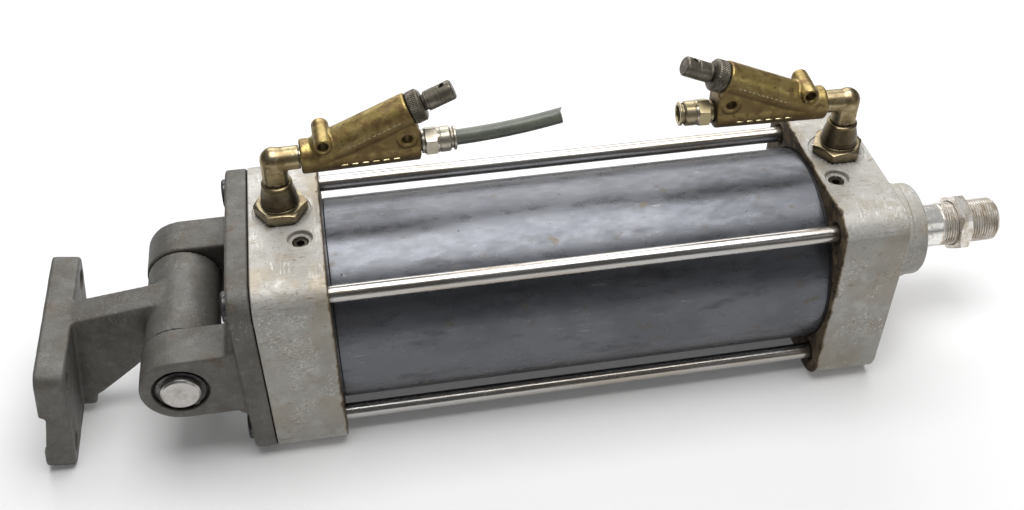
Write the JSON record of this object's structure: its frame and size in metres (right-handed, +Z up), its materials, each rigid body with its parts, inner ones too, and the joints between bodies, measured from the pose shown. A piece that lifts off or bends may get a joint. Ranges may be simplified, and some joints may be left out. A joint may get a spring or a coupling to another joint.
{
  "type": "pneumatic cylinder",
  "caption": "Square-cap tie-rod pneumatic cylinder with a rear clevis, a swinging pivot bracket, a threaded rod end and a flow-control valve on a swivel elbow at each port.",
  "frame": {"origin": "middle of the bounding box's underside, on the plane that the caps rest on", "axes": "+X along the rod axis from the pivot bracket to the rod end, +Z up towards the ports, +Y to the left seen from behind the bracket"},
  "size_m": [0.541, 0.115, 0.1818],
  "materials": {
    "cap_alloy": "sand-cast and face-machined, scratched",
    "barrel_alloy": "drawn tube, glossy grey anodised",
    "polished_steel": "ground and polished",
    "cast_iron": "dark grey casting",
    "plain_steel": "turned, zinc plated",
    "dark_steel": "black oxide",
    "yellow_steel": "yellow chromated",
    "elbow_brass": "worn yellow brass",
    "valve_brass": "olive chromated brass with brown patina",
    "nickel": "nickel plated, warm",
    "knob_steel": "dark browned, knurled",
    "bronze": "sintered bronze",
    "rubber": "moulded",
    "grey_plastic": "moulded",
    "tube_plastic": "extruded, grey-green"
  },
  "bodies": {
    "barrel": {"rear_cap": "cap_alloy", "front_cap": "cap_alloy", "rod_guide": "cap_alloy", "barrel_tube": "barrel_alloy", "tie_rod_1": "polished_steel", "tie_rod_2": "polished_steel", "tie_rod_3": "polished_steel", "tie_rod_4": "polished_steel", "rear_clevis": "cast_iron", "pivot_pin": "plain_steel", "front_tie_nut_1": "dark_steel", "front_tie_nut_2": "dark_steel", "front_tie_nut_3": "dark_steel", "front_tie_nut_4": "dark_steel", "rear_tie_nut_1": "dark_steel", "rear_tie_nut_2": "dark_steel", "rear_tie_nut_3": "dark_steel", "rear_tie_nut_4": "dark_steel", "clevis_screw_1": "dark_steel", "clevis_screw_2": "dark_steel", "clevis_screw_3": "dark_steel", "clevis_screw_4": "dark_steel", "circlip_near": "dark_steel", "circlip_far": "dark_steel", "rear_port_bushing": "yellow_steel", "front_port_bushing": "yellow_steel", "rear_swivel_base": "elbow_brass", "front_swivel_base": "elbow_brass", "rod_bush": "bronze", "rear_barrel_seal": "rubber", "front_barrel_seal": "rubber", "rear_cushion_seal": "rubber", "front_cushion_seal": "rubber", "rod_wiper": "rubber"},
    "rod": {"piston_rod": "polished_steel", "piston": "cap_alloy", "piston_seal_rear": "rubber", "piston_seal_front": "rubber", "piston_wear_ring": "grey_plastic", "piston_nut": "plain_steel", "front_cushion_spigot": "plain_steel"},
    "lock_nut": {"rod_lock_nut": "plain_steel"},
    "bracket": {"pivot_bracket": "cast_iron", "eye_bush": "bronze"},
    "rear_valve": {"rear_valve_elbow": "elbow_brass", "rear_valve_body": "valve_brass", "rear_tube_fitting": "nickel", "tube_stub": "tube_plastic"},
    "rear_lock_ring": {"rear_lock_ring": "knob_steel"},
    "rear_needle": {"rear_needle": "knob_steel"},
    "rear_collar": {"rear_release_collar": "nickel"},
    "rear_cushion": {"rear_cushion_screw": "dark_steel"},
    "front_valve": {"front_valve_elbow": "elbow_brass", "front_valve_body": "valve_brass", "front_tube_fitting": "nickel"},
    "front_lock_ring": {"front_lock_ring": "knob_steel"},
    "front_needle": {"front_needle": "knob_steel"},
    "front_collar": {"front_release_collar": "nickel"},
    "front_cushion": {"front_cushion_screw": "dark_steel"}
  },
  "joints": [
    {"name": "rod_slide", "type": "slide", "parent": "barrel", "child": "rod", "axis": [1, 0, 0], "range_m": [0, 0.2]},
    {"name": "lock_nut_turn", "type": "hinge", "parent": "rod", "child": "lock_nut", "pos_m": [0.24805, 0, 0.0575], "axis": [1, 0, 0], "continuous": true},
    {"name": "bracket_swing", "type": "hinge", "parent": "barrel", "child": "bracket", "pos_m": [-0.19095, 0, 0.0575], "axis": [0, 1, 0], "range_deg": [-60, 95]},
    {"name": "rear_valve_swivel", "type": "hinge", "parent": "barrel", "child": "rear_valve", "pos_m": [-0.13165, 0.008, 0.1478], "axis": [0, 0, 1], "continuous": true},
    {"name": "rear_lock_ring_turn", "type": "hinge", "parent": "rear_valve", "child": "rear_lock_ring", "pos_m": [-0.06179, 0.0102, 0.1685], "axis": [0.9234, 0.029, 0.3827], "continuous": true},
    {"name": "rear_needle_turn", "type": "hinge", "parent": "rear_valve", "child": "rear_needle", "pos_m": [-0.06179, 0.0102, 0.1685], "axis": [0.9234, 0.029, 0.3827], "range_deg": [0, 1800]},
    {"name": "rear_collar_press", "type": "slide", "parent": "rear_valve", "child": "rear_collar", "axis": [-0.9995, -0.0314, 0], "range_m": [0, 0.0012], "stiffness_N_per_m": 3000},
    {"name": "rear_cushion_turn", "type": "hinge", "parent": "barrel", "child": "rear_cushion", "pos_m": [-0.12335, -0.015, 0.1075], "axis": [0, 0, 1], "range_deg": [0, 1080]},
    {"name": "front_valve_swivel", "type": "hinge", "parent": "barrel", "child": "front_valve", "pos_m": [0.16775, 0.008, 0.1478], "axis": [0, 0, 1], "continuous": true},
    {"name": "front_lock_ring_turn", "type": "hinge", "parent": "front_valve", "child": "front_lock_ring", "pos_m": [0.09788, 0.0102, 0.1685], "axis": [-0.9234, 0.029, 0.3827], "continuous": true},
    {"name": "front_needle_turn", "type": "hinge", "parent": "front_valve", "child": "front_needle", "pos_m": [0.09788, 0.0102, 0.1685], "axis": [-0.9234, 0.029, 0.3827], "range_deg": [0, 1800]},
    {"name": "front_collar_press", "type": "slide", "parent": "front_valve", "child": "front_collar", "axis": [0.9995, -0.0314, 0], "range_m": [0, 0.0012], "stiffness_N_per_m": 3000},
    {"name": "front_cushion_turn", "type": "hinge", "parent": "barrel", "child": "front_cushion", "pos_m": [0.15945, -0.015, 0.1075], "axis": [0, 0, 1], "range_deg": [0, 1080]}
  ]
}
